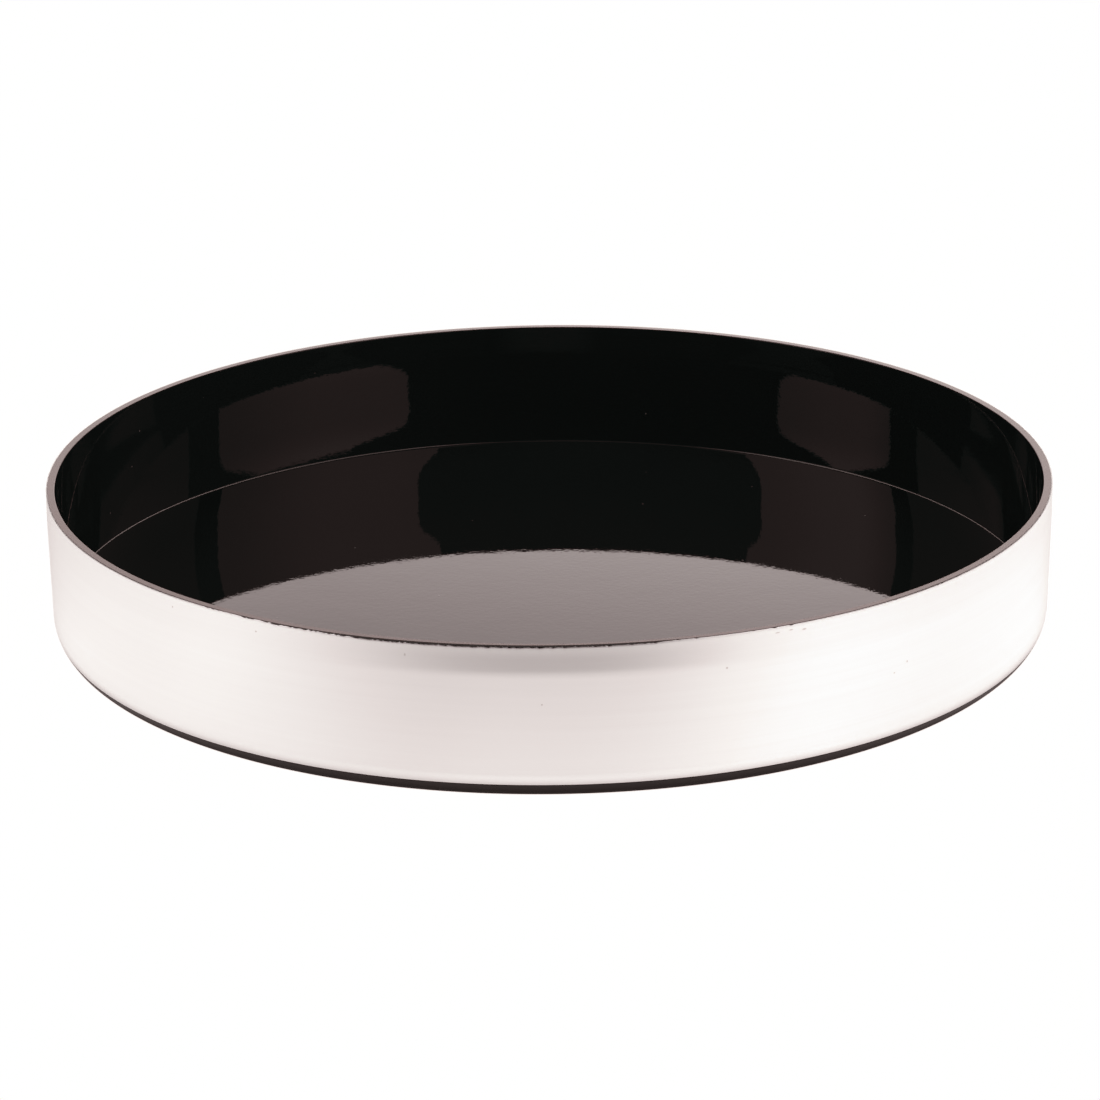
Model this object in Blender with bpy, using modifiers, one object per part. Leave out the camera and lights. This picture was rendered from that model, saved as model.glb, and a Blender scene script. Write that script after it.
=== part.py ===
"""Round serving tray, 350 mm across and 55 mm high, in metres with +Z up.

The origin is at the centre of the footprint, on the surface that the foot pads stand on.
A gloss black liner carries the floor, the wall and the rim. A brushed metal sleeve slides up round
its wall, under the rim's lip. A black base pan closes the underside and holds the sleeve's rolled
lower edge. A tongue under the liner sits in the pan's groove, on a bead of adhesive.
"""

import math

import bpy

# The whole tray
TRAY_RADIUS = 0.175
TRAY_HEIGHT = 0.055
TURN_STEPS = 72  # sides of every large ring, so that the facets of neighbours line up
CORNER_STEP = 12  # degrees between the points of the outer corner's arcs
SMALL_STEP = 30  # degrees between the points of small and hidden arcs
CLEARANCE = 0.0003  # between pieces that meet

# Liner: the inside of the tray and its rim
FLOOR_TOP = 0.010
FLOOR_THICKNESS = 0.0024
FLOOR_FILLET = 0.001
WALL_THICKNESS = 0.0022
WALL_DRAFT = 0.0012  # how far the wall leans out from the floor to the rim
RIM_WIDTH = 0.003
RIM_ROUND = 0.00035
LIP_HEIGHT = 0.0004  # of the rim's edge above the sleeve
LINER_CORNER = 0.0035
TONGUE_RADIUS = 0.151
TONGUE_WIDTH = 0.002
TONGUE_HEIGHT = 0.002

# Sleeve: the brushed skin
SLEEVE_THICKNESS = 0.0005
SLEEVE_ROLL = math.radians(23)  # how far its lower edge follows the bottom corner

# Base pan: the bottom corner and the underside
PAN_BOTTOM = 0.0008
CORNER_RADIUS = 0.010
PAN_WALL = 0.0018
PAN_FLOOR_THICKNESS = 0.002
COLLAR_TOP = 0.0097
STANDING_RING_INNER = 0.157
RECESS_DEPTH = 0.001
GROOVE_WIDTH = 0.0038
RING_RIB_WIDTH = 0.0012
SUPPORT_RING_RADII = (0.050, 0.100)
RIB_COUNT = 8
RIB_WIDTH = 0.0015
RIB_DROP = 0.0002  # of the radial ribs below the ring ribs

# Adhesive bead
BEAD_WIDTH = 0.0032

# Foot pads
FOOT_CIRCLE = 0.140
FOOT_FIRST_ANGLE = 45  # degrees from +X
FOOT_RADIUS = 0.009
FOOT_CHAMFER = 0.0004
FOOT_STEPS = 24
FOOT_SEAT_DEPTH = 0.0005
FOOT_NAMES = ("foot_pad_back_right", "foot_pad_back_left", "foot_pad_front_left", "foot_pad_front_right")

# Heights and radii that follow from those above
RIM_INNER = TRAY_RADIUS - RIM_WIDTH
FLOOR_RADIUS = RIM_INNER - WALL_DRAFT
FLOOR_BOTTOM = FLOOR_TOP - FLOOR_THICKNESS
LIP_BOTTOM = TRAY_HEIGHT - LIP_HEIGHT
SLEEVE_TOP = LIP_BOTTOM - CLEARANCE
CORNER_CENTRE = (TRAY_RADIUS - CORNER_RADIUS, PAN_BOTTOM + CORNER_RADIUS)
RECESS_HEIGHT = PAN_BOTTOM + RECESS_DEPTH
PAN_FLOOR_TOP = RECESS_HEIGHT + PAN_FLOOR_THICKNESS
RIB_TOP = FLOOR_BOTTOM - CLEARANCE


def empty_scene():
    for obj in list(bpy.data.objects):
        bpy.data.objects.remove(obj)


def new_collection(name):
    collection = bpy.data.collections.new(name)
    bpy.context.scene.collection.children.link(collection)
    return collection


def material(name, colour, roughness, metallic=0.0):
    made = bpy.data.materials.new(name)
    made.use_nodes = True
    shader = made.node_tree.nodes["Principled BSDF"]
    shader.inputs["Base Color"].default_value = (*colour, 1)
    shader.inputs["Roughness"].default_value = roughness
    shader.inputs["Metallic"].default_value = metallic
    return made


def arc(centre, radius, start, end, step=SMALL_STEP):
    """Points on an arc in the (radius, height) plane. Angles are in degrees, 0 outwards and 90 up."""
    steps = math.ceil(abs(end - start) / step)
    angles = [math.radians(start + (end - start) * i / steps) for i in range(steps + 1)]
    return [(centre[0] + radius * math.cos(a), centre[1] + radius * math.sin(a)) for a in angles]


def corner_angle(radius, height):
    """The angle, in degrees, at which an arc of this radius about the corner's centre passes a height."""
    return -math.degrees(math.asin((CORNER_CENTRE[1] - height) / radius))


def turned(name, profile, closed, steps, look, collection):
    """A profile in the (radius, height) plane turned round the Z axis, its outer side top to bottom."""
    count = len(profile)
    edges = [(i, i + 1) for i in range(count - 1)]
    if closed:
        edges.append((count - 1, 0))
    mesh = bpy.data.meshes.new(name)
    mesh.from_pydata([(r, 0, z) for r, z in profile], edges, [])
    mesh.materials.append(look)
    obj = bpy.data.objects.new(name, mesh)
    collection.objects.link(obj)
    screw = obj.modifiers.new("Turn", "SCREW")
    screw.axis = "Z"
    screw.steps = steps
    screw.render_steps = steps
    screw.use_merge_vertices = True
    screw.merge_threshold = 0.00001
    screw.use_smooth_shade = True
    return obj


def helper(obj):
    """Keeps an operand of a Boolean out of the model."""
    obj.hide_render = True
    obj.display_type = "WIRE"
    return obj


def tongue():
    """The ring under the liner's floor, from its outer side to its inner side."""
    outer = TONGUE_RADIUS + TONGUE_WIDTH / 2
    inner = TONGUE_RADIUS - TONGUE_WIDTH / 2
    low = FLOOR_BOTTOM - TONGUE_HEIGHT
    return [(outer, FLOOR_BOTTOM), (outer, low), (inner, low), (inner, FLOOR_BOTTOM)]


def make_inner_tray(look, collection):
    fillet_centre = (FLOOR_RADIUS - FLOOR_FILLET, FLOOR_TOP + FLOOR_FILLET)
    rim_inner_edge = (RIM_INNER + RIM_ROUND, TRAY_HEIGHT - RIM_ROUND)
    rim_outer_edge = (TRAY_RADIUS - RIM_ROUND, TRAY_HEIGHT - RIM_ROUND)
    wall_outer_top = RIM_INNER + WALL_THICKNESS
    corner_centre = (FLOOR_RADIUS + WALL_THICKNESS - LINER_CORNER, FLOOR_BOTTOM + LINER_CORNER)
    profile = [
        (0, FLOOR_TOP),
        *arc(fillet_centre, FLOOR_FILLET, -90, 0),
        *arc(rim_inner_edge, RIM_ROUND, 180, 90),
        *arc(rim_outer_edge, RIM_ROUND, 90, 0),
        (TRAY_RADIUS, LIP_BOTTOM),
        (wall_outer_top, LIP_BOTTOM),
        *arc(corner_centre, LINER_CORNER, 0, -90),
        *tongue(),
        (0, FLOOR_BOTTOM),
    ]
    return turned("inner_tray", profile, False, TURN_STEPS, look, collection)


def make_metal_sleeve(look, collection):
    """A thin band: upright to the bottom corner, then rolled in along the corner's arc."""
    roll = math.degrees(SLEEVE_ROLL)
    inner = TRAY_RADIUS - SLEEVE_THICKNESS
    profile = [
        (inner, SLEEVE_TOP),
        (TRAY_RADIUS, SLEEVE_TOP),
        *arc(CORNER_CENTRE, CORNER_RADIUS, 0, -roll, CORNER_STEP),
        *arc(CORNER_CENTRE, CORNER_RADIUS - SLEEVE_THICKNESS, -roll, 0, CORNER_STEP),
    ]
    return turned("metal_sleeve", profile, True, TURN_STEPS, look, collection)


def ring_rib(middle):
    """A standing ring on the pan's floor, from its inner foot to its outer foot."""
    inner, outer = middle - RING_RIB_WIDTH / 2, middle + RING_RIB_WIDTH / 2
    return [(inner, PAN_FLOOR_TOP), (inner, RIB_TOP), (outer, RIB_TOP), (outer, PAN_FLOOR_TOP)]


def groove_walls():
    """The middle radii of the two ring ribs that the liner's tongue goes between."""
    offset = (GROOVE_WIDTH + RING_RIB_WIDTH) / 2
    return TONGUE_RADIUS - offset, TONGUE_RADIUS + offset


def make_radial_rib(index, helpers):
    """A bar from the inner support ring to the groove, standing in the pan's floor."""
    top = RIB_TOP - RIB_DROP
    bottom = PAN_FLOOR_TOP - PAN_FLOOR_THICKNESS / 2
    start, reach = SUPPORT_RING_RADII[0], groove_walls()[0]
    angle = 2 * math.pi * index / RIB_COUNT
    middle = (start + reach) / 2
    bpy.ops.mesh.primitive_cube_add(
        size=1,
        location=(middle * math.cos(angle), middle * math.sin(angle), (top + bottom) / 2),
        rotation=(0, 0, angle),
        scale=(reach - start, RIB_WIDTH, top - bottom),
    )
    rib = bpy.context.object
    rib.name = f"rib_{index + 1}"
    for collection in rib.users_collection:
        collection.objects.unlink(rib)
    helpers.objects.link(rib)
    return helper(rib)


def foot_place(index):
    """The centre of one foot pad, on the surface that the tray stands on."""
    angle = math.radians(FOOT_FIRST_ANGLE) + 2 * math.pi * index / len(FOOT_NAMES)
    return (FOOT_CIRCLE * math.cos(angle), FOOT_CIRCLE * math.sin(angle), 0)


def make_foot_seat(index, look, helpers):
    """The round hollow in the pan's underside that one foot pad sits in."""
    radius = FOOT_RADIUS + CLEARANCE
    top = RECESS_HEIGHT + FOOT_SEAT_DEPTH
    profile = [(0, top), (radius, top), (radius, 0), (0, 0)]
    seat = turned(f"foot_seat_{index + 1}", profile, False, FOOT_STEPS, look, helpers)
    seat.location = foot_place(index)
    return helper(seat)


def add_boolean(obj, other, operation):
    boolean = obj.modifiers.new(other.name, "BOOLEAN")
    boolean.operation = operation
    boolean.object = other


def make_base_pan(look, collection, helpers):
    rebate = CORNER_RADIUS - SLEEVE_THICKNESS - CLEARANCE
    inside = CORNER_RADIUS - PAN_WALL
    shoulder = -math.degrees(SLEEVE_ROLL + CLEARANCE / CORNER_RADIUS)
    rings = [point for radius in (*SUPPORT_RING_RADII, *groove_walls()) for point in ring_rib(radius)]
    profile = [
        (0, PAN_FLOOR_TOP),
        *rings,
        *arc(CORNER_CENTRE, inside, corner_angle(inside, PAN_FLOOR_TOP), corner_angle(inside, COLLAR_TOP)),
        *arc(CORNER_CENTRE, rebate, corner_angle(rebate, COLLAR_TOP), shoulder, CORNER_STEP),
        *arc(CORNER_CENTRE, CORNER_RADIUS, shoulder, -90, CORNER_STEP),
        (STANDING_RING_INNER, PAN_BOTTOM),
        (STANDING_RING_INNER - RECESS_DEPTH, RECESS_HEIGHT),
        (0, RECESS_HEIGHT),
    ]
    pan = turned("base_pan", profile, False, TURN_STEPS, look, collection)
    for index in range(RIB_COUNT):
        add_boolean(pan, make_radial_rib(index, helpers), "UNION")
    for index in range(len(FOOT_NAMES)):
        add_boolean(pan, make_foot_seat(index, look, helpers), "DIFFERENCE")
    return pan


def make_bond_ring(look, collection):
    """The bead on the groove's floor, under the liner's tongue."""
    outer, inner = TONGUE_RADIUS + BEAD_WIDTH / 2, TONGUE_RADIUS - BEAD_WIDTH / 2
    top = FLOOR_BOTTOM - TONGUE_HEIGHT - CLEARANCE
    bottom = PAN_FLOOR_TOP + CLEARANCE
    profile = [(inner, top), (outer, top), (outer, bottom), (inner, bottom)]
    return turned("bond_ring", profile, True, TURN_STEPS, look, collection)


def make_foot_pad(index, look, collection):
    top = RECESS_HEIGHT + FOOT_SEAT_DEPTH - CLEARANCE
    profile = [
        (0, top),
        (FOOT_RADIUS, top),
        (FOOT_RADIUS, FOOT_CHAMFER),
        (FOOT_RADIUS - FOOT_CHAMFER, 0),
        (0, 0),
    ]
    foot = turned(FOOT_NAMES[index], profile, False, FOOT_STEPS, look, collection)
    foot.location = foot_place(index)
    return foot


def main():
    empty_scene()
    parts = new_collection("serving_tray")
    helpers = new_collection("helpers")
    gloss_black = material("gloss_black_plastic", (0.012, 0.011, 0.011), 0.06)
    brushed = material("brushed_metal_skin", (0.86, 0.84, 0.83), 0.3, 1.0)
    satin_black = material("satin_black_plastic", (0.016, 0.014, 0.014), 0.3)
    adhesive = material("adhesive", (0.7, 0.66, 0.55), 0.5)
    rubber = material("foot_rubber", (0.03, 0.03, 0.03), 0.8)
    pieces = [
        make_inner_tray(gloss_black, parts),
        make_metal_sleeve(brushed, parts),
        make_base_pan(satin_black, parts, helpers),
        make_bond_ring(adhesive, parts),
        *(make_foot_pad(index, rubber, parts) for index in range(len(FOOT_NAMES))),
    ]
    root = bpy.data.objects.new("tray_origin", None)
    parts.objects.link(root)
    for piece in pieces:
        piece.parent = root


main()
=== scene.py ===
"""Looks of the round serving tray: fine turned pieces, their materials, the studio and the camera.

Metres, +Z up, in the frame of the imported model. Directions round the tray are given as a bearing, in
degrees from the front (-Y) towards the right (+X). A profile is a list of (radius, height) points.
"""

import math
import random

import bmesh
import bpy
import numpy as np
from mathutils import Matrix, Vector


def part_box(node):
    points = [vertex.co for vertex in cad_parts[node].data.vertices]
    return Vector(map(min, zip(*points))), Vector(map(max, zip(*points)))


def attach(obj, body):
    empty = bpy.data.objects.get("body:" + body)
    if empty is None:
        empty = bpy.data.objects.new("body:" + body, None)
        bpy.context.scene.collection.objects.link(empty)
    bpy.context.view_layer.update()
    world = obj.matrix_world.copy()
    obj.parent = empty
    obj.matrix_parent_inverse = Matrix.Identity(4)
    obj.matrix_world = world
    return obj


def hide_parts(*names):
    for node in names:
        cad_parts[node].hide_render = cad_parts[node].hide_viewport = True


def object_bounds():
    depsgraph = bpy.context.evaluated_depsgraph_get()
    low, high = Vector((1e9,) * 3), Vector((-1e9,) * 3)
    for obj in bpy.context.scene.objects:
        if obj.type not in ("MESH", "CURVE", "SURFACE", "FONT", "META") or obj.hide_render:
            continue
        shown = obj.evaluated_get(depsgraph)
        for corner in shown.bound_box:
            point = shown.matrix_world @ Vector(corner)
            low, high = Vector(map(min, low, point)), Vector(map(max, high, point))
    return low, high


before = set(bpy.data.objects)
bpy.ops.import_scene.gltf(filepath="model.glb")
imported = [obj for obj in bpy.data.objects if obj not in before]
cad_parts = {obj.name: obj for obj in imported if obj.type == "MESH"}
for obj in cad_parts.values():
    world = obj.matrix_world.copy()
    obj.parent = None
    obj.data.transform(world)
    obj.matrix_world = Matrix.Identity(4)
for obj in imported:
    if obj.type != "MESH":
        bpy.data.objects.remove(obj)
CAD_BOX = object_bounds()

BODY = "root"
MM = 0.001

# The tray's outline, from the frame
TRAY_RADIUS = CAD_BOX[1].x
RIM_TOP = CAD_BOX[1].z
PAN_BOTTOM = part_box("base_pan")[0].z
FOOT_NODES = sorted(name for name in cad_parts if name.startswith("foot_pad"))

# Liner
FLOOR_TOP = 10 * MM
FLOOR_THICKNESS = 2.4 * MM
FLOOR_FILLET = 0.6 * MM
WALL_THICKNESS = 2.2 * MM
WALL_DRAFT = 1.5 * MM
MIDDLE_LEAN, FLOOR_LEAN, RIM_LEAN = 0.9, 3.6, 3.9  # degrees: half way up, and what the two ends add
LEAN_NEAR_FLOOR = (-0.08, 0.34)  # shares of the wall's height where that lean fades out
LEAN_NEAR_RIM = (0.62, 1.05)  # and where the other sets in
RIM_WIDTH = 3.0 * MM
RIM_ROUND = 0.35 * MM
LIP_ROUND = 0.12 * MM
LIP_HEIGHT = 0.55 * MM
LIP_SET_BACK = 0.25 * MM  # from the sleeve's outside
LINER_CORNER = 3.5 * MM
TONGUE_RADIUS = 151 * MM
TONGUE_WIDTH = 2.0 * MM
TONGUE_HEIGHT = 2.0 * MM
RIM_INNER = TRAY_RADIUS - RIM_WIDTH
FLOOR_RADIUS = RIM_INNER - WALL_DRAFT
FLOOR_BOTTOM = FLOOR_TOP - FLOOR_THICKNESS
LIP_BOTTOM = RIM_TOP - LIP_HEIGHT
LIP_RADIUS = TRAY_RADIUS - LIP_SET_BACK

# Sleeve
SLEEVE_THICKNESS = 0.5 * MM
SLEEVE_ROLL = 23  # degrees of the bottom corner that its lower edge follows
SLEEVE_DRAFT = 0.9 * MM  # how far it narrows from its top to the bottom corner
SLEEVE_EDGE_ROUND = 0.24 * MM
SLEEVE_TOP = RIM_TOP - 0.08 * MM
WORN_DROP = 0.40 * MM  # how far the worn part of its top edge lies lower
WORN_ARC = ((-25, -20), (9, 14))  # bearings where the worn part begins and ends
EDGE_DEPTH = 1.6 * MM  # how far down the wear at the top edge pulls the sleeve's points
CREASE_HEIGHTS = (44.5 * MM, 47.1 * MM)  # at the front, the band above this turn leans in
CREASE_RETURN = (50.0 * MM, 55.0 * MM)  # where it straightens again
CREASE_LEAN = 6.0  # degrees
CREASE_REACH = (2.0, 28.0)  # degrees from the front where it begins to fade, and where it is gone

# Small marks on the sleeve: bearing, height and size in mm, and how much flatter than wide
SLEEVE_MARKS = (
    (18.8, 43.6, 0.50, 1.0),
    (-1.0, 35.1, 0.38, 1.0),
    (41.9, 31.8, 0.40, 1.0),
    (40.0, 29.2, 0.40, 1.6),
    (24.6, 53.0, 1.10, 4.5),
    (26.2, 53.2, 0.95, 4.0),
    (27.8, 52.6, 1.00, 2.8),
    (-45.0, 51.2, 0.40, 1.0),
    (-33.0, 50.8, 0.45, 1.3),
    (-15.5, 50.4, 0.50, 0.7),
)

# Base pan
CLEARANCE = 0.3 * MM
CORNER_RADIUS = 10 * MM
PAN_WALL = 1.8 * MM
PAN_FLOOR_THICKNESS = 2.0 * MM
COLLAR_TOP = 9.7 * MM
STANDING_RING_INNER = 157 * MM
RECESS_DEPTH = 1.0 * MM
GROOVE_WIDTH = 3.8 * MM
RING_RIB_WIDTH = 1.2 * MM
SUPPORT_RING_RADII = (50 * MM, 100 * MM)
RIB_COUNT = 8
RIB_WIDTH = 1.5 * MM
RIB_DROP = 0.2 * MM
CORNER_CENTRE = (TRAY_RADIUS - CORNER_RADIUS, PAN_BOTTOM + CORNER_RADIUS)
RECESS_HEIGHT = PAN_BOTTOM + RECESS_DEPTH
PAN_FLOOR_TOP = RECESS_HEIGHT + PAN_FLOOR_THICKNESS
RIB_TOP = FLOOR_BOTTOM - CLEARANCE

# Foot pads
FOOT_SEAT_DEPTH = 0.5 * MM
FOOT_CHAMFER = 0.4 * MM
FOOT_GROOVES = 4
FOOT_GROOVE_DEPTH = 0.25 * MM
FOOT_GROOVE_WIDTH = 0.7 * MM
FOOT_GROOVE_SLOPE = 0.15 * MM
FOOT_EDGE_BAND = 1.4 * MM  # from the pad's edge to its first groove
FOOT_MIDDLE_BAND = 2.5 * MM  # of the radius, left out when the grooves are spaced

# Gloss black plastic
CUT_HEIGHTS = (RIM_TOP - 0.04 * MM, RIM_TOP - 0.01 * MM)  # the rim's cut face begins between them
# Painted highlight: a pale line along the fillet at the wall's foot, in place of the fillet's reflection of
# the bright surroundings
PAINTED_HIGHLIGHT_START = (FLOOR_TOP + 0.03 * MM, FLOOR_TOP + 0.08 * MM)
PAINTED_HIGHLIGHT_END = (FLOOR_TOP + 0.16 * MM, FLOOR_TOP + 0.24 * MM)
PAINTED_HIGHLIGHT_SIDES = (75 * MM, 130 * MM)  # it grows stronger to the left and right of the middle
PAINTED_HIGHLIGHT_BACK = (-20 * MM, 20 * MM)  # and from the front half to the back half
PAINTED_HIGHLIGHT_COLOR = (0.58, 0.57, 0.56)
BLUSH_RADIUS = 19 * MM
BLUSH_COLOR = (0.25, 0.23, 0.23)
SPECK_COLOR = (0.5, 0.5, 0.5)
GLOSS_COLORS = ((0.0120, 0.0120, 0.0120), (0.0145, 0.0145, 0.0145))
CUT_COLORS = ((0.092, 0.036, 0.024), (0.130, 0.055, 0.038))

# Other materials: the two colours that each one varies between
SKIN_COLORS = ((0.922, 0.922, 0.922), (0.940, 0.940, 0.940))
MARK_COLOR = (0.66, 0.64, 0.63)
SATIN_COLORS = ((0.008, 0.0075, 0.0075), (0.012, 0.011, 0.011))
RUBBER_COLORS = ((0.018, 0.018, 0.018), (0.034, 0.033, 0.032))
ADHESIVE_COLORS = ((0.52, 0.45, 0.32), (0.68, 0.62, 0.48))

# Fineness of the turned meshes
TURN_SEGMENTS = 480
SLEEVE_SEGMENTS = 2400
FOOT_SEGMENTS = 96
ARC_STEP = 9  # degrees

# Camera
CAMERA_LENS = 173.95
CAMERA_SENSOR = 36.0
CAMERA_ELEVATION = math.radians(19.410)
CAMERA_ROLL = math.radians(0.607)
CAMERA_DISTANCE = 10.70672 * TRAY_RADIUS
CAMERA_AIM_UP = 0.13546 * TRAY_RADIUS
CAMERA_AIM_RIGHT = 0.00035 * TRAY_RADIUS

# Studio
CARD_DISTANCE = 3.0
CARD_LOW = 12.5  # elevation of their lower edge, in degrees
CARD_TOP = 62
SEAM_LOW, SEAM_HIGH = (18.0, 18.4), (19.7, 20.3)  # elevations where the softboxes' gap begins and ends
SIDE_CARD_TOP = 40
SIDE_CARD_GLOW = 0.2
BACKDROP_SIDES = (152, 208)
BACKDROP_ELEVATIONS = (4, 34)
STUDIO_DARK = 0.001
SHADE_GLOW = 0.06  # of the floor under the tray
FLOOR_DROP = 0.2 * MM  # below the foot pads
FLOOR_SHADE = (TRAY_RADIUS - 8 * MM, TRAY_RADIUS + 9 * MM)  # radii where the shade ends
FLOOR_SEGMENTS = 360

# A grade over the whole picture: green and blue against the input, in linear light
TONE_CURVES = {
    1: ((0.0039, 0.0046), (0.0156, 0.0112), (0.06, 0.047), (0.27, 0.227), (0.77, 0.702), (0.93, 0.888)),
    2: ((0.0039, 0.0042), (0.0156, 0.0106), (0.06, 0.045), (0.27, 0.223), (0.77, 0.682), (0.93, 0.862)),
}


# ---------------------------------------------------------------- profiles and turned meshes


def arc(centre, radius, start, end, step=ARC_STEP):
    """Points on an arc. Angles are in degrees, 0 outwards and 90 up."""
    steps = max(1, math.ceil(abs(end - start) / step))
    angles = [math.radians(start + (end - start) * i / steps) for i in range(steps + 1)]
    return [(centre[0] + radius * math.cos(a), centre[1] + radius * math.sin(a)) for a in angles]


def corner_angle(radius, height):
    """The angle, in degrees, at which an arc of this radius about the corner's centre passes a height."""
    return -math.degrees(math.asin((CORNER_CENTRE[1] - height) / radius))


def line(start, end, steps):
    """Points strictly between two ends, closer together near both, so that flats stay flat when shaded."""
    points = []
    for i in range(1, steps):
        t = (1 - math.cos(math.pi * i / steps)) / 2
        points.append((start[0] + (end[0] - start[0]) * t, start[1] + (end[1] - start[1]) * t))
    return points


def with_lines(corners, steps=8):
    """A profile with support points added along each of its straight runs."""
    made = []
    for start, end in zip(corners, corners[1:]):
        made.append(start)
        if math.dist(start, end) > 0.6 * MM:
            made.extend(line(start, end, steps))
    made.append(corners[-1])
    return made


def smooth(low, high, value):
    """0 below low, 1 above high, eased between. For a number or an array."""
    t = np.clip((value - low) / (high - low), 0, 1)
    return t * t * (3 - 2 * t)


def turned_mesh(name, profile, segments, closed):
    """The profile turned round the Z axis, as a closed mesh with smooth shading between its sharp edges."""
    angles = np.linspace(0, 2 * math.pi, segments, endpoint=False)
    vertices = []
    rings = []
    for radius, height in profile:
        first = len(vertices)
        if radius < 1e-7:
            vertices.append((0, 0, height))
            rings.append([first] * segments)
        else:
            vertices.extend((radius * math.cos(a), radius * math.sin(a), height) for a in angles)
            rings.append(list(range(first, first + segments)))
    pairs = list(zip(rings, rings[1:]))
    if closed:
        pairs.append((rings[-1], rings[0]))
    faces = []
    for upper, lower in pairs:
        for i in range(segments):
            j = (i + 1) % segments
            corners = dict.fromkeys((upper[i], upper[j], lower[j], lower[i]))
            if len(corners) > 2:
                faces.append(tuple(corners))
    mesh = bpy.data.meshes.new(name)
    mesh.from_pydata(vertices, [], faces)
    return mesh


def finish_mesh(mesh, sharp_angle=35):
    """Faces out, smooth shading, sharp edges kept."""
    work = bmesh.new()
    work.from_mesh(mesh)
    bmesh.ops.recalc_face_normals(work, faces=work.faces)
    work.to_mesh(mesh)
    work.free()
    mesh.shade_smooth()
    mesh.set_sharp_from_angle(angle=math.radians(sharp_angle))


def points_of(mesh):
    flat = np.empty(len(mesh.vertices) * 3)
    mesh.vertices.foreach_get("co", flat)
    return flat.reshape(-1, 3)


def set_points(mesh, points):
    mesh.vertices.foreach_set("co", points.ravel())
    mesh.update()


def bearings_of(points):
    return np.degrees(np.arctan2(points[:, 0], -points[:, 1]))


def move_in(points, depths):
    """Points moved towards the tray's axis."""
    radii = np.maximum(np.hypot(points[:, 0], points[:, 1]), 1e-6)
    points[:, :2] *= (1 - depths / radii)[:, None]


def new_piece(name, mesh, material, slot, *nodes):
    """An object that rides on the tray's body and stands for these CAD nodes."""
    mesh.materials.append(material)
    piece = bpy.data.objects.new(name, mesh)
    bpy.context.scene.collection.objects.link(piece)
    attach(piece, BODY)
    if nodes:
        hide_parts(*nodes)
    return piece


# ---------------------------------------------------------------- liner


def wall_lean(share):
    """The inner wall's lean in degrees at a share of its height: more near the floor and near the rim."""
    near_floor = 1 - smooth(*LEAN_NEAR_FLOOR, share)
    near_rim = smooth(*LEAN_NEAR_RIM, share)
    return MIDDLE_LEAN + FLOOR_LEAN * near_floor + RIM_LEAN * near_rim


def inner_wall(steps=90):
    """Points up the inner wall, from the fillet to the rim's inner round."""
    bottom, top = FLOOR_TOP + FLOOR_FILLET, RIM_TOP - RIM_ROUND
    heights = [bottom + (top - bottom) * i / steps for i in range(steps + 1)]
    offsets = [0.0]
    for i in range(steps):
        slope = math.tan(math.radians(wall_lean((i + 0.5) / steps)))
        offsets.append(offsets[-1] + slope * (heights[i + 1] - heights[i]))
    scale = WALL_DRAFT / offsets[-1]
    return [(FLOOR_RADIUS + offset * scale, z) for offset, z in zip(offsets, heights)]


def tongue():
    outer = TONGUE_RADIUS + TONGUE_WIDTH / 2
    inner = TONGUE_RADIUS - TONGUE_WIDTH / 2
    low = FLOOR_BOTTOM - TONGUE_HEIGHT
    return [(outer, FLOOR_BOTTOM), (outer, low), (inner, low), (inner, FLOOR_BOTTOM)]


def liner_profile():
    fillet_centre = (FLOOR_RADIUS - FLOOR_FILLET, FLOOR_TOP + FLOOR_FILLET)
    rim_inner_edge = (RIM_INNER + RIM_ROUND, RIM_TOP - RIM_ROUND)
    rim_outer_edge = (LIP_RADIUS - LIP_ROUND, RIM_TOP - LIP_ROUND)
    wall_outer_top = RIM_INNER + WALL_THICKNESS / 2
    corner_centre = (FLOOR_RADIUS + WALL_THICKNESS - LINER_CORNER, FLOOR_BOTTOM + LINER_CORNER)
    floor_edge = (fillet_centre[0], FLOOR_TOP)
    return [
        (0, FLOOR_TOP),
        *line((0, FLOOR_TOP), floor_edge, 40),
        *arc(fillet_centre, FLOOR_FILLET, -90, 0),
        *inner_wall()[1:-1],
        *arc(rim_inner_edge, RIM_ROUND, 180, 90),
        *line((rim_inner_edge[0], RIM_TOP), (rim_outer_edge[0], RIM_TOP), 12),
        *arc(rim_outer_edge, LIP_ROUND, 90, 0),
        (LIP_RADIUS, LIP_BOTTOM),
        (wall_outer_top, LIP_BOTTOM),
        *line((wall_outer_top, LIP_BOTTOM), (corner_centre[0] + LINER_CORNER, corner_centre[1]), 8),
        *arc(corner_centre, LINER_CORNER, 0, -90),
        *tongue(),
        (0, FLOOR_BOTTOM),
    ]


def make_liner(material):
    mesh = turned_mesh("liner", liner_profile(), TURN_SEGMENTS, False)
    points = points_of(mesh)
    at_edge = smooth(RIM_INNER + 1.0 * MM, LIP_RADIUS - LIP_ROUND, np.hypot(points[:, 0], points[:, 1]))
    at_edge *= points[:, 2] > LIP_BOTTOM - 0.01 * MM
    move_in(points, crease_depths(bearings_of(points), SLEEVE_TOP) * at_edge)
    set_points(mesh, points)
    finish_mesh(mesh)
    return new_piece("liner_shell", mesh, material, "gloss_black", "inner_tray")


# ---------------------------------------------------------------- sleeve


def sleeve_radius(height):
    """The sleeve's outer radius above the corner, with a slight draft."""
    corner = CORNER_CENTRE[1]
    share = min(1.0, (height - corner) / (CREASE_HEIGHTS[0] - corner))
    return TRAY_RADIUS - SLEEVE_DRAFT * (1 - share)


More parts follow.
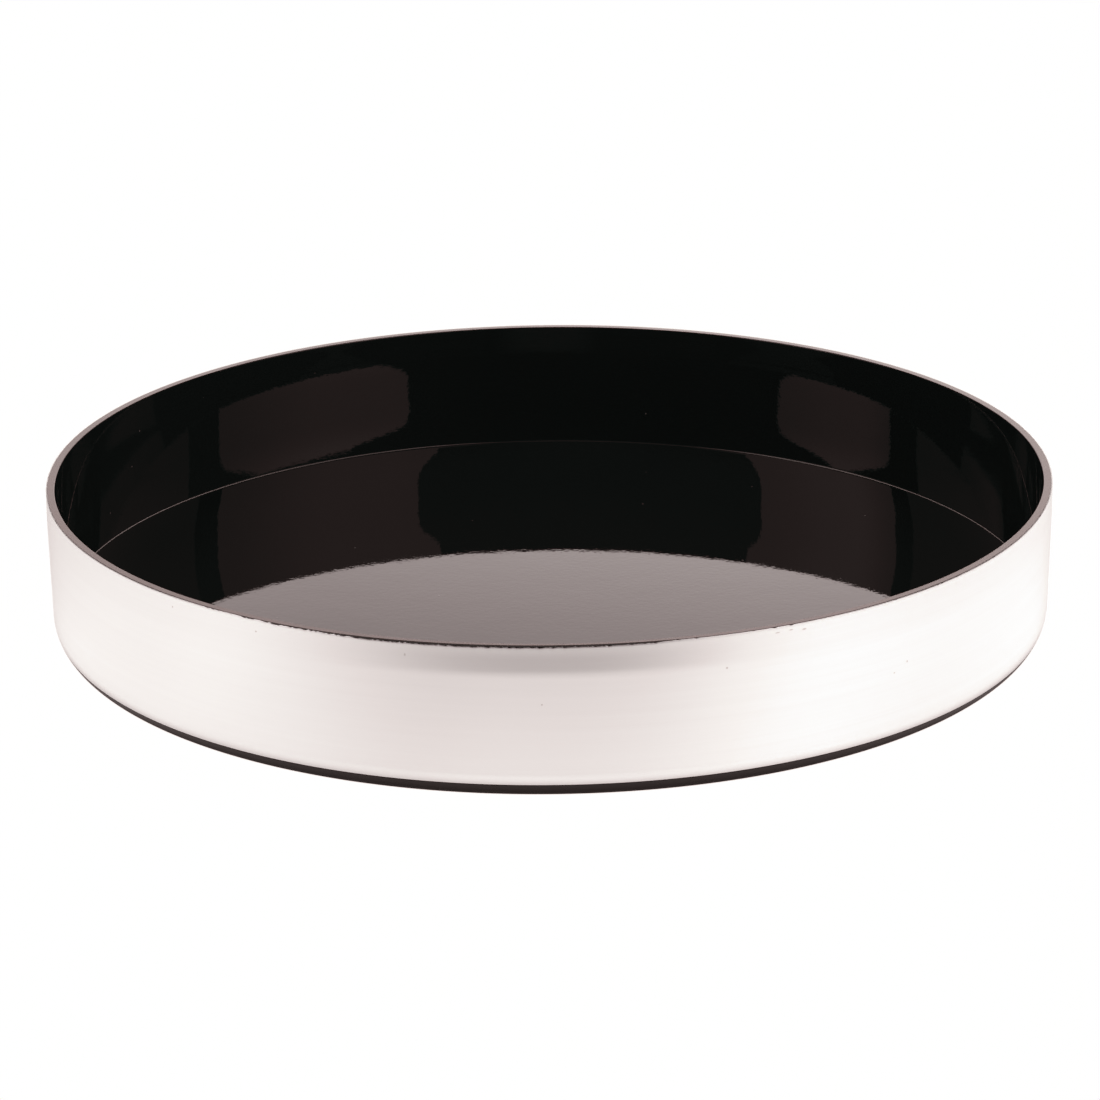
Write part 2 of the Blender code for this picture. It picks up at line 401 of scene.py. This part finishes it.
def crease_depths(bearings, heights):
    """How far the sleeve leans in above its crease: most at the front, nothing from the sides on."""
    levels = np.linspace(CREASE_HEIGHTS[0], SLEEVE_TOP, 80)
    slopes = smooth(*CREASE_HEIGHTS, levels) * (1 - 0.6 * smooth(*CREASE_RETURN, levels))
    depths = np.cumsum(slopes) * (levels[1] - levels[0]) * math.tan(math.radians(CREASE_LEAN))
    front = 1 - smooth(*CREASE_REACH, np.abs(bearings))
    return np.interp(heights, levels, depths - depths[0]) * front


def sleeve_profile():
    low = CORNER_CENTRE[1]
    top = SLEEVE_TOP - SLEEVE_EDGE_ROUND
    centre = (sleeve_radius(low) - CORNER_RADIUS, low)
    outside = []
    steps = 60
    for i in range(steps + 1):
        height = top + (low - top) * i / steps
        outside.append((sleeve_radius(height), height))
    inner = sleeve_radius(top) - SLEEVE_THICKNESS
    edge_centre = (sleeve_radius(top) - SLEEVE_EDGE_ROUND, top)
    inside_edge = (inner + SLEEVE_EDGE_ROUND, top)
    inside = [(radius - SLEEVE_THICKNESS, height) for radius, height in reversed(outside)]
    return [
        *arc(inside_edge, SLEEVE_EDGE_ROUND, 180, 90, 30),
        *arc(edge_centre, SLEEVE_EDGE_ROUND, 90, 0, 30),
        *outside[1:-1],
        *arc(centre, CORNER_RADIUS, 0, -SLEEVE_ROLL, 2),
        *arc(centre, CORNER_RADIUS - SLEEVE_THICKNESS, -SLEEVE_ROLL, 0, 2),
        *inside[1:-1],
    ]


def edge_chips():
    """(bearing, half width in degrees, depth) of each nick in the sleeve's top edge, most at front left."""
    draw = random.Random(11)
    chips = []
    for _ in range(110):
        bearing = draw.gauss(-12, 11)
        chips.append((bearing, draw.uniform(0.06, 0.30), draw.uniform(0.08, 0.30) * MM))
    for _ in range(22):
        bearing = draw.triangular(-46, -21, -23)
        chips.append((bearing, draw.uniform(0.12, 0.45), draw.uniform(0.25, 0.48) * MM))
    for _ in range(60):
        chips.append((draw.uniform(-180, 180), draw.uniform(0.05, 0.22), draw.uniform(0.03, 0.20) * MM))
    return chips


def edge_drops(bearings):
    """How far the sleeve's top edge lies below its full height, all round."""
    begin, end = WORN_ARC
    drops = WORN_DROP * smooth(*begin, bearings) * (1 - smooth(*end, bearings))
    nicks = np.zeros(len(bearings))
    for bearing, half, deep in edge_chips():
        away = np.abs((bearings - bearing + 180) % 360 - 180) / half
        nicks = np.maximum(nicks, deep * np.clip(1.3 - away, 0, 1))
    return np.minimum(drops + nicks, 0.8 * EDGE_DEPTH)


def make_sleeve(material):
    mesh = turned_mesh("sleeve", sleeve_profile(), SLEEVE_SEGMENTS, True)
    points = points_of(mesh)
    bearings = bearings_of(points)
    move_in(points, crease_depths(bearings, points[:, 2]))
    near_edge = np.clip((points[:, 2] - (SLEEVE_TOP - EDGE_DEPTH)) / EDGE_DEPTH, 0, 1)
    points[:, 2] -= edge_drops(bearings) * near_edge
    set_points(mesh, points)
    finish_mesh(mesh, 50)
    return new_piece("brushed_sleeve", mesh, material, "brushed_skin", "metal_sleeve")


# ---------------------------------------------------------------- base pan


def ring_rib(middle):
    inner, outer = middle - RING_RIB_WIDTH / 2, middle + RING_RIB_WIDTH / 2
    return [(inner, PAN_FLOOR_TOP), (inner, RIB_TOP), (outer, RIB_TOP), (outer, PAN_FLOOR_TOP)]


def groove_walls():
    offset = (GROOVE_WIDTH + RING_RIB_WIDTH) / 2
    return TONGUE_RADIUS - offset, TONGUE_RADIUS + offset


def pan_profile():
    rebate = CORNER_RADIUS - SLEEVE_THICKNESS - CLEARANCE
    inside = CORNER_RADIUS - PAN_WALL
    shoulder = -SLEEVE_ROLL - math.degrees(CLEARANCE / CORNER_RADIUS)
    outer_centre = (CORNER_CENTRE[0] - SLEEVE_DRAFT, CORNER_CENTRE[1])
    rings = [point for radius in (*SUPPORT_RING_RADII, *groove_walls()) for point in ring_rib(radius)]
    inner_angles = corner_angle(inside, PAN_FLOOR_TOP), corner_angle(inside, COLLAR_TOP)
    inner_arc = arc(outer_centre, inside, *inner_angles)
    rebate_arc = arc(outer_centre, rebate, corner_angle(rebate, COLLAR_TOP), shoulder, 4)
    outer_arc = arc(outer_centre, CORNER_RADIUS, shoulder, -90, 3)
    corners = [
        (0, PAN_FLOOR_TOP),
        *rings,
        *inner_arc,
        *rebate_arc,
        *outer_arc,
        (STANDING_RING_INNER, PAN_BOTTOM),
        (STANDING_RING_INNER - RECESS_DEPTH, RECESS_HEIGHT),
        (0, RECESS_HEIGHT),
    ]
    return with_lines(corners, 6)


def box_mesh(name, low, high):
    """A closed block between two corners."""
    work = bmesh.new()
    bmesh.ops.create_cube(work, size=1)
    size = [b - a for a, b in zip(low, high)]
    middle = [(a + b) / 2 for a, b in zip(low, high)]
    bmesh.ops.transform(work, matrix=Matrix.Diagonal((*size, 1)), verts=work.verts)
    bmesh.ops.translate(work, vec=middle, verts=work.verts)
    mesh = bpy.data.meshes.new(name)
    work.to_mesh(mesh)
    work.free()
    return mesh


def radial_ribs():
    """The bars that stand on the pan's floor, one mesh each."""
    top = RIB_TOP - RIB_DROP
    bottom = PAN_FLOOR_TOP - PAN_FLOOR_THICKNESS / 2
    start, reach = SUPPORT_RING_RADII[0], groove_walls()[0]
    made = []
    for index in range(RIB_COUNT):
        mesh = box_mesh("rib", (start, -RIB_WIDTH / 2, bottom), (reach, RIB_WIDTH / 2, top))
        mesh.transform(Matrix.Rotation(2 * math.pi * index / RIB_COUNT, 4, "Z"))
        made.append(mesh)
    return made


def foot_place(node):
    low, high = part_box(node)
    return (low + high) / 2, (high.x - low.x) / 2


def foot_seats():
    """The hollows that the pads sit in, one mesh each."""
    made = []
    for node in FOOT_NODES:
        centre, radius = foot_place(node)
        top = RECESS_HEIGHT + FOOT_SEAT_DEPTH
        profile = [(0, top), (radius + CLEARANCE, top), (radius + CLEARANCE, 0), (0, 0)]
        mesh = turned_mesh("seat", profile, FOOT_SEGMENTS, False)
        finish_mesh(mesh)
        mesh.transform(Matrix.Translation((centre.x, centre.y, 0)))
        made.append(mesh)
    return made


def cut_and_join(mesh, joined, removed):
    """The mesh with others united to it and others taken from it, as a new mesh."""
    base = bpy.data.objects.new("work", mesh)
    bpy.context.scene.collection.objects.link(base)
    helpers = [base]
    for operation, others in (("UNION", joined), ("DIFFERENCE", removed)):
        for other in others:
            helper = bpy.data.objects.new("helper", other)
            bpy.context.scene.collection.objects.link(helper)
            helpers.append(helper)
            boolean = base.modifiers.new("cut", "BOOLEAN")
            boolean.operation = operation
            boolean.object = helper
    bpy.context.view_layer.update()
    graph = bpy.context.evaluated_depsgraph_get()
    made = bpy.data.meshes.new_from_object(base.evaluated_get(graph), depsgraph=graph)
    for helper in helpers:
        bpy.data.objects.remove(helper)
    return made


def make_pan(material):
    mesh = turned_mesh("pan", pan_profile(), TURN_SEGMENTS, False)
    finish_mesh(mesh)
    mesh = cut_and_join(mesh, radial_ribs(), foot_seats())
    finish_mesh(mesh)
    return new_piece("pan_shell", mesh, material, "satin_black", "base_pan")


# ---------------------------------------------------------------- foot pads


def foot_profile(radius, top):
    """A pad with ring grooves in the face that it stands on."""
    pitch = (radius - FOOT_MIDDLE_BAND) / FOOT_GROOVES
    profile = [(0, top), (radius, top), (radius, FOOT_CHAMFER), (radius - FOOT_CHAMFER, 0)]
    for index in range(FOOT_GROOVES):
        outer = radius - FOOT_EDGE_BAND - index * pitch
        inner = outer - FOOT_GROOVE_WIDTH
        profile += [(outer, 0), (outer - FOOT_GROOVE_SLOPE, FOOT_GROOVE_DEPTH)]
        profile += [(inner + FOOT_GROOVE_SLOPE, FOOT_GROOVE_DEPTH), (inner, 0)]
    profile.append((0, 0))
    return profile


def make_foot(node, material):
    centre, radius = foot_place(node)
    mesh = turned_mesh(node, foot_profile(radius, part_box(node)[1].z), FOOT_SEGMENTS, False)
    mesh.transform(Matrix.Translation((centre.x, centre.y, 0)))
    finish_mesh(mesh, 30)
    return new_piece("rubber_" + node, mesh, material, "foot_rubber", node)


# ---------------------------------------------------------------- node helpers


class Nodes:
    """A material's node tree, with its Principled shader, and short ways to add to it."""

    def __init__(self, name):
        self.material = bpy.data.materials.new(name)
        self.material.use_nodes = True
        self.tree = self.material.node_tree
        self.shader = self.tree.nodes["Principled BSDF"]

    def add(self, kind, **settings):
        node = self.tree.nodes.new(kind)
        for key, value in settings.items():
            setattr(node, key, value)
        return node

    def link(self, source, target):
        self.tree.links.new(source, target)

    def set(self, name, value):
        self.shader.inputs[name].default_value = value

    def math(self, operation, first, second=0.0):
        node = self.add("ShaderNodeMath", operation=operation)
        for socket, value in zip(node.inputs, (first, second)):
            if isinstance(value, (int, float)):
                socket.default_value = value
            else:
                self.link(value, socket)
        return node.outputs[0]

    def place(self):
        return self.add("ShaderNodeTexCoord").outputs["Object"]

    def scaled(self, vector, scale):
        node = self.add("ShaderNodeMapping")
        node.inputs["Scale"].default_value = scale
        self.link(vector, node.inputs["Vector"])
        return node.outputs[0]

    def noise(self, vector, scale, detail=2.0, roughness=0.5):
        node = self.add("ShaderNodeTexNoise")
        node.inputs["Scale"].default_value = scale
        node.inputs["Detail"].default_value = detail
        node.inputs["Roughness"].default_value = roughness
        self.link(vector, node.inputs["Vector"])
        return node.outputs["Fac"]

    def cells(self, vector, scale):
        """Distance to the nearest of scattered points, in cells."""
        node = self.add("ShaderNodeTexVoronoi")
        node.inputs["Scale"].default_value = scale
        self.link(vector, node.inputs["Vector"])
        return node.outputs["Distance"]

    def remap(self, value, low, high, to_low=0.0, to_high=1.0):
        node = self.add("ShaderNodeMapRange")
        for name, number in (("From Min", low), ("From Max", high), ("To Min", to_low), ("To Max", to_high)):
            node.inputs[name].default_value = number
        self.link(value, node.inputs["Value"])
        return node.outputs[0]

    def blend(self, share, first, second):
        """A colour mix; share is a socket."""
        node = self.add("ShaderNodeMix", data_type="RGBA")
        self.link(share, node.inputs["Factor"])
        for socket, value in ((node.inputs["A"], first), (node.inputs["B"], second)):
            if isinstance(value, tuple):
                socket.default_value = (*value, 1)
            else:
                self.link(value, socket)
        return node.outputs["Result"]

    def bump(self, height, distance, after=None):
        node = self.add("ShaderNodeBump")
        node.inputs["Strength"].default_value = 1.0
        node.inputs["Distance"].default_value = distance
        self.link(height, node.inputs["Height"])
        if after:
            self.link(after, node.inputs["Normal"])
        return node.outputs[0]

    def split(self, vector):
        parts = self.add("ShaderNodeSeparateXYZ")
        self.link(vector, parts.inputs[0])
        return parts.outputs

    def spot(self, centre, size, stretch):
        """1 at a point, 0 from a distance of size on. A stretch above 1 makes it a flat streak."""
        moved = self.add("ShaderNodeVectorMath", operation="SUBTRACT")
        self.link(self.place(), moved.inputs[0])
        moved.inputs[1].default_value = centre
        length = self.add("ShaderNodeVectorMath", operation="LENGTH")
        self.link(self.scaled(moved.outputs[0], (1, 1, stretch)), length.inputs[0])
        return self.remap(length.outputs["Value"], 0.4 * size, size, 1, 0)


# ---------------------------------------------------------------- materials


def gloss_black():
    """Polished black plastic with a faint ripple and a few dust specks. The rim's flat top is a duller,
    brownish cut. A painted highlight, a fine pale line, follows the fillet at the foot of the wall, standing
    in for the fillet's reflection of the bright surroundings, and there is a faint blush mid-floor."""
    n = Nodes("gloss_black_plastic")
    place = n.place()
    x, y, z = n.split(place)
    cut_face = n.remap(z, *CUT_HEIGHTS)
    body = n.blend(n.noise(place, 18.0, 3.0), *GLOSS_COLORS)
    cut = n.blend(n.noise(place, 900.0, 3.0), *CUT_COLORS)
    # painted highlight along the fillet at the wall's foot, stronger at the sides and back; it also dulls the
    # roughness there
    in_fillet = n.math("MULTIPLY", n.remap(z, *PAINTED_HIGHLIGHT_START), n.remap(z, *PAINTED_HIGHLIGHT_END, 1, 0))
    at_sides = n.remap(n.math("ABSOLUTE", x), *PAINTED_HIGHLIGHT_SIDES, 0.05, 1)
    at_sides = n.math("MULTIPLY", at_sides, n.remap(y, *PAINTED_HIGHLIGHT_BACK, 0.10, 1))
    painted_highlight = n.math("MULTIPLY", in_fillet, at_sides)
    specks = n.remap(n.cells(place, 75.0), 0.014, 0.030, 0.5, 0)
    from_axis = n.math("ADD", n.math("MULTIPLY", x, x), n.math("MULTIPLY", y, y))
    blush = n.math("MULTIPLY", n.remap(from_axis, 0, BLUSH_RADIUS**2, 1, 0), n.noise(place, 90.0, 3.0))
    color = n.blend(painted_highlight, body, PAINTED_HIGHLIGHT_COLOR)
    color = n.blend(n.math("MULTIPLY", blush, 0.06), color, BLUSH_COLOR)
    color = n.blend(specks, color, SPECK_COLOR)
    n.link(n.blend(cut_face, color, cut), n.shader.inputs["Base Color"])
    haze = n.remap(n.noise(n.scaled(place, (1, 1, 0.4)), 45.0, 4.0), 0.3, 0.7, 0.012, 0.024)
    dull = n.math("ADD", n.math("MULTIPLY", cut_face, 0.18), n.math("MULTIPLY", painted_highlight, 0.3))
    n.link(n.math("ADD", haze, dull), n.shader.inputs["Roughness"])
    fine = n.bump(n.noise(place, 540.0, 2.0), 0.0000075)
    n.link(n.bump(n.noise(place, 60.0, 1.0), 0.000012, fine), n.shader.inputs["Normal"])
    n.set("IOR", 1.5)
    return n.material


def on_sleeve(bearing, height):
    """A point on the sleeve's outside."""
    return direction(bearing, 0) * sleeve_radius(height) + Vector((0, 0, height))


def brushed_skin():
    """Brushed aluminium: fine lines round it, which spread reflections up and down, and a few marks."""
    n = Nodes("brushed_metal_skin")
    lines = n.noise(n.scaled(n.place(), (14, 14, 2600)), 1.0, 3.0, 0.6)
    broad = n.noise(n.scaled(n.place(), (6, 6, 420)), 1.0, 2.0, 0.5)
    tone = n.math("ADD", n.math("MULTIPLY", lines, 0.5), n.math("MULTIPLY", broad, 0.5))
    color = n.blend(n.remap(tone, 0.35, 0.65), *SKIN_COLORS)
    for bearing, height, size, stretch in SLEEVE_MARKS:
        mark = n.spot(on_sleeve(bearing, height * MM), size * MM, stretch)
        color = n.blend(mark, color, MARK_COLOR)
    n.link(color, n.shader.inputs["Base Color"])
    n.link(n.remap(lines, 0.3, 0.7, 0.325, 0.355), n.shader.inputs["Roughness"])
    n.link(n.bump(lines, 0.0000008), n.shader.inputs["Normal"])
    tangent = n.add("ShaderNodeTangent", direction_type="RADIAL", axis="Z")
    n.link(tangent.outputs[0], n.shader.inputs["Tangent"])
    n.set("Metallic", 1.0)
    n.set("Anisotropic", 0.8)
    n.set("Anisotropic Rotation", 0.25)
    return n.material


def satin_black():
    """Moulded black plastic with a fine grain."""
    n = Nodes("satin_black_plastic")
    place = n.place()
    n.link(n.blend(n.noise(place, 30.0, 3.0), *SATIN_COLORS), n.shader.inputs["Base Color"])
    n.link(n.remap(n.noise(place, 160.0, 3.0), 0.3, 0.7, 0.24, 0.34), n.shader.inputs["Roughness"])
    n.link(n.bump(n.noise(place, 1400.0, 2.0), 0.00001), n.shader.inputs["Normal"])
    return n.material


def foot_rubber():
    """Matt rubber, slightly mottled."""
    n = Nodes("foot_rubber")
    place = n.place()
    n.link(n.blend(n.noise(place, 90.0, 3.0), *RUBBER_COLORS), n.shader.inputs["Base Color"])
    n.link(n.remap(n.noise(place, 600.0, 3.0), 0.3, 0.7, 0.68, 0.86), n.shader.inputs["Roughness"])
    n.link(n.bump(n.noise(place, 2400.0, 2.0), 0.00003), n.shader.inputs["Normal"])
    return n.material


def adhesive():
    """A cured, slightly lumpy, straw-coloured bead."""
    n = Nodes("adhesive")
    place = n.place()
    n.link(n.blend(n.noise(place, 60.0, 4.0), *ADHESIVE_COLORS), n.shader.inputs["Base Color"])
    n.link(n.remap(n.noise(place, 200.0, 2.0), 0.3, 0.7, 0.35, 0.55), n.shader.inputs["Roughness"])
    n.link(n.bump(n.noise(place, 300.0, 3.0), 0.00008), n.shader.inputs["Normal"])
    n.set("Subsurface Weight", 0.1)
    return n.material


# ---------------------------------------------------------------- studio


def direction(bearing, elevation):
    """The unit vector at a bearing and an elevation, both in degrees."""
    b, e = math.radians(bearing), math.radians(elevation)
    return Vector((math.sin(b) * math.cos(e), -math.cos(b) * math.cos(e), math.sin(e)))


def emission_material(name):
    """Light as strong as the mesh's own glow attribute says."""
    material = bpy.data.materials.new(name)
    material.use_nodes = True
    tree = material.node_tree
    tree.nodes.clear()
    output = tree.nodes.new("ShaderNodeOutputMaterial")
    emission = tree.nodes.new("ShaderNodeEmission")
    tree.links.new(emission.outputs[0], output.inputs["Surface"])
    glow = tree.nodes.new("ShaderNodeAttribute")
    glow.attribute_name = "glow"
    tree.links.new(glow.outputs["Fac"], emission.inputs["Strength"])
    return material


def set_glow(mesh, levels):
    attribute = mesh.attributes.new("glow", "FLOAT", "POINT")
    attribute.data.foreach_set("value", levels)


def light_card(name, bearings, elevations, glow, columns=48, rows=40):
    """A curved panel round the tray, lit by glow(bearing, elevation). The camera doesn't see it.
    bearings(elevation) gives its two sides."""
    vertices, levels = [], []
    for row in range(rows + 1):
        elevation = elevations[0] + (elevations[1] - elevations[0]) * row / rows
        left, right = bearings(elevation)
        for column in range(columns + 1):
            bearing = left + (right - left) * column / columns
            height = CARD_DISTANCE * math.tan(math.radians(elevation))
            flat = direction(bearing, 0) * CARD_DISTANCE
            vertices.append((flat.x, flat.y, height))
            levels.append(glow(bearing, elevation))
    faces = []
    for row in range(rows):
        for column in range(columns):
            i = row * (columns + 1) + column
            faces.append((i, i + 1, i + columns + 2, i + columns + 1))
    mesh = bpy.data.meshes.new(name)
    mesh.from_pydata(vertices, [], faces)
    set_glow(mesh, levels)
    mesh.materials.append(emission_material(name))
    card = bpy.data.objects.new(name, mesh)
    bpy.context.scene.collection.objects.link(card)
    card.visible_camera = False


def corner_pull(elevation, width, reach=17.0):
    """How far a card's side draws in near its lower edge, for a rounded corner. In degrees."""
    return width * (1 - smooth(CARD_LOW, reach, elevation)) ** 2


def seam(elevation):
    """0 in the unlit gap between the softboxes' lower and upper panels, 1 elsewhere."""
    return 1 - smooth(*SEAM_LOW, elevation) * (1 - smooth(*SEAM_HIGH, elevation))


def edge_bow(elevation):
    """How far a softbox's inner edge bows out high up. In degrees."""
    return min(3, 0.15 * max(0, elevation - 22.5) ** 2)


def right_bearings(elevation):
    """The right softbox's sides. Its inner edge leans towards the front, and bows out high up."""
    inner = 34.9 - 0.3 * (elevation - 18) + corner_pull(elevation, 14)
    inner -= edge_bow(elevation)
    outer = 92 + 0.55 * min(0, elevation - 22) - corner_pull(elevation, 10)
    return inner, outer


def upper_gain(elevation):
    """The softboxes are a little brighter high up."""
    return 1 + 0.2 * smooth(34, 44, elevation)


def right_glow(bearing, elevation):
    """Dimmer towards its outer side, and in its lower panel."""
    level = 1.52 - 0.75 * smooth(55, 92, bearing) - 0.08 * (1 - smooth(30, 42, bearing))
    level *= 0.82 + 0.18 * smooth(18.2, 19.8, elevation)
    return level * seam(elevation) * upper_gain(elevation)


def left_bearings(elevation):
    """The left softbox's sides."""
    inner = -55.4 + 0.8 * min(0, elevation - 22) - corner_pull(elevation, 12)
    inner += edge_bow(elevation)
    outer = -97 - 0.75 * min(0, elevation - 22) + corner_pull(elevation, 10)
    return outer, inner


def left_glow(bearing, elevation):
    """Dimmer towards both sides, and in its lower panel."""
    level = 1.70 - 0.85 * smooth(83, 99, -bearing) - 0.3 * (1 - smooth(56, 76, -bearing))
    level *= 0.65 + 0.35 * smooth(18.2, 19.8, elevation)
    return level * seam(elevation) * upper_gain(elevation)


def side_glow(bearing, elevation):
    return SIDE_CARD_GLOW * seam(elevation)


def back_glow(bearing, elevation):
    """Brighter towards the right and lower down, and fading at both sides."""
    fade = 1 - smooth(9, 27, abs(180 - bearing))
    side = np.clip((180 - bearing) / 50, -0.08, 0.08)
    rise = np.clip(elevation - 19.7, -1.2, 1.2)
    return (1.74 + 1.6 * side) * fade * smooth(4, 9, elevation) * (1 - 0.14 * rise)


def make_cards():
    side = (CARD_LOW, SIDE_CARD_TOP)
    light_card("softbox_right", right_bearings, (CARD_LOW, CARD_TOP), right_glow, rows=160)
    light_card("softbox_left", left_bearings, (CARD_LOW, CARD_TOP), left_glow, rows=160)
    light_card("dim_wall_right", lambda elevation: (100, 150), side, side_glow, rows=110)
    light_card("dim_wall_left", lambda elevation: (-150, -103), side, side_glow, rows=110)
    light_card("backdrop_glow", lambda elevation: BACKDROP_SIDES, BACKDROP_ELEVATIONS, back_glow, 112, 80)


def floor_glow(bearing, radius):
    """The floor's light in reflections: shaded under the tray, brighter at the right, darker far in front."""
    right = smooth(2, 36, bearing) * (1 - smooth(64, 118, bearing))
    near_left = smooth(6, 20, -bearing) * (1 - smooth(40, 54, -bearing))
    far_left, far_right = smooth(76, 120, -bearing), smooth(90, 130, bearing)
    front = 1 - smooth(14, 55, abs(bearing))
    fall = front * (0.12 * smooth(0.19, 0.32, radius) + 0.55 * smooth(0.32, 0.60, radius))
    level = 1.115 + 0.075 * right - 0.05 * near_left - 0.20 * far_left - 0.08 * far_right
    return (SHADE_GLOW + (level - SHADE_GLOW) * smooth(*FLOOR_SHADE, radius)) * (1 - fall)


def floor_material():
    """White to the camera. In reflections and bounce light it glows as its glow attribute says: a pale floor
    with a painted shadow under the tray.
    """
    material = emission_material("studio_floor")
    material.cycles.emission_sampling = "NONE"
    tree = material.node_tree
    emission, glow = tree.nodes["Emission"], tree.nodes["Attribute"]
    path = tree.nodes.new("ShaderNodeLightPath")
    pick = tree.nodes.new("ShaderNodeMix")
    tree.links.new(path.outputs["Is Camera Ray"], pick.inputs["Factor"])
    tree.links.new(glow.outputs["Fac"], pick.inputs["A"])
    pick.inputs["B"].default_value = 1.0
    tree.links.new(pick.outputs["Result"], emission.inputs["Strength"])
    return material


def make_floor():
    """A wide disc, just under the foot pads."""
    radii = [0, *np.linspace(0.15, 0.20, 11), *np.linspace(0.21, 0.64, 44), 0.8, 1.2, 2, 4, 12]
    mesh = turned_mesh("studio_floor", [(radius, 0) for radius in radii], FLOOR_SEGMENTS, False)
    points = points_of(mesh)
    levels = [floor_glow(b, math.hypot(x, y)) for b, (x, y, z) in zip(bearings_of(points), points)]
    set_glow(mesh, levels)
    mesh.materials.append(floor_material())
    floor = bpy.data.objects.new("studio_floor", mesh)
    floor.location.z = -FLOOR_DROP
    bpy.context.scene.collection.objects.link(floor)


def make_world():
    """White to the camera, and a dim room in reflections."""
    world = bpy.data.worlds.new("studio")
    bpy.context.scene.world = world
    world.use_nodes = True
    tree = world.node_tree
    background = tree.nodes["Background"]
    background.inputs["Color"].default_value = (1, 1, 1, 1)
    path = tree.nodes.new("ShaderNodeLightPath")
    pick = tree.nodes.new("ShaderNodeMix")
    tree.links.new(path.outputs["Is Camera Ray"], pick.inputs["Factor"])
    pick.inputs["A"].default_value = STUDIO_DARK
    pick.inputs["B"].default_value = 1.0
    tree.links.new(pick.outputs["Result"], background.inputs["Strength"])


def make_camera():
    """In front of the tray and above it, rolled slightly."""
    forward = Vector((0, math.cos(CAMERA_ELEVATION), -math.sin(CAMERA_ELEVATION)))
    up = Vector((0, math.sin(CAMERA_ELEVATION), math.cos(CAMERA_ELEVATION)))
    right = Vector((1, 0, 0))
    place = -CAMERA_DISTANCE * forward + CAMERA_AIM_RIGHT * right + CAMERA_AIM_UP * up
    place += Vector((0, 0, PAN_BOTTOM))
    rolled_right = right * math.cos(CAMERA_ROLL) - up * math.sin(CAMERA_ROLL)
    rolled_up = right * math.sin(CAMERA_ROLL) + up * math.cos(CAMERA_ROLL)
    data = bpy.data.cameras.new("camera")
    data.lens = CAMERA_LENS
    data.sensor_width = CAMERA_SENSOR
    data.clip_start, data.clip_end = 0.05, 60
    camera = bpy.data.objects.new("camera", data)
    bpy.context.scene.collection.objects.link(camera)
    turn = Matrix((rolled_right, rolled_up, -forward)).transposed()
    camera.matrix_world = Matrix.Translation(place) @ turn.to_4x4()
    bpy.context.scene.camera = camera


def set_tones():
    """A warm print tone: mid greys lose a little green and blue, black and white stay neutral."""
    settings = bpy.context.scene.view_settings
    settings.view_transform = "Standard"
    settings.use_curve_mapping = True
    mapping = settings.curve_mapping
    for index, points in TONE_CURVES.items():
        curve = mapping.curves[index]
        for place, value in points:
            curve.points.new(place, value)
        for point in curve.points:
            point.handle_type = "VECTOR"
    mapping.update()


# ---------------------------------------------------------------- all of it


def main():
    make_liner(gloss_black())
    make_sleeve(brushed_skin())
    make_pan(satin_black())
    rubber = foot_rubber()
    for node in FOOT_NODES:
        make_foot(node, rubber)
    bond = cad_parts["bond_ring"]
    bond.data.materials.clear()
    bond.data.materials.append(adhesive())
    make_floor()
    make_cards()
    make_world()
    make_camera()
    set_tones()


main()
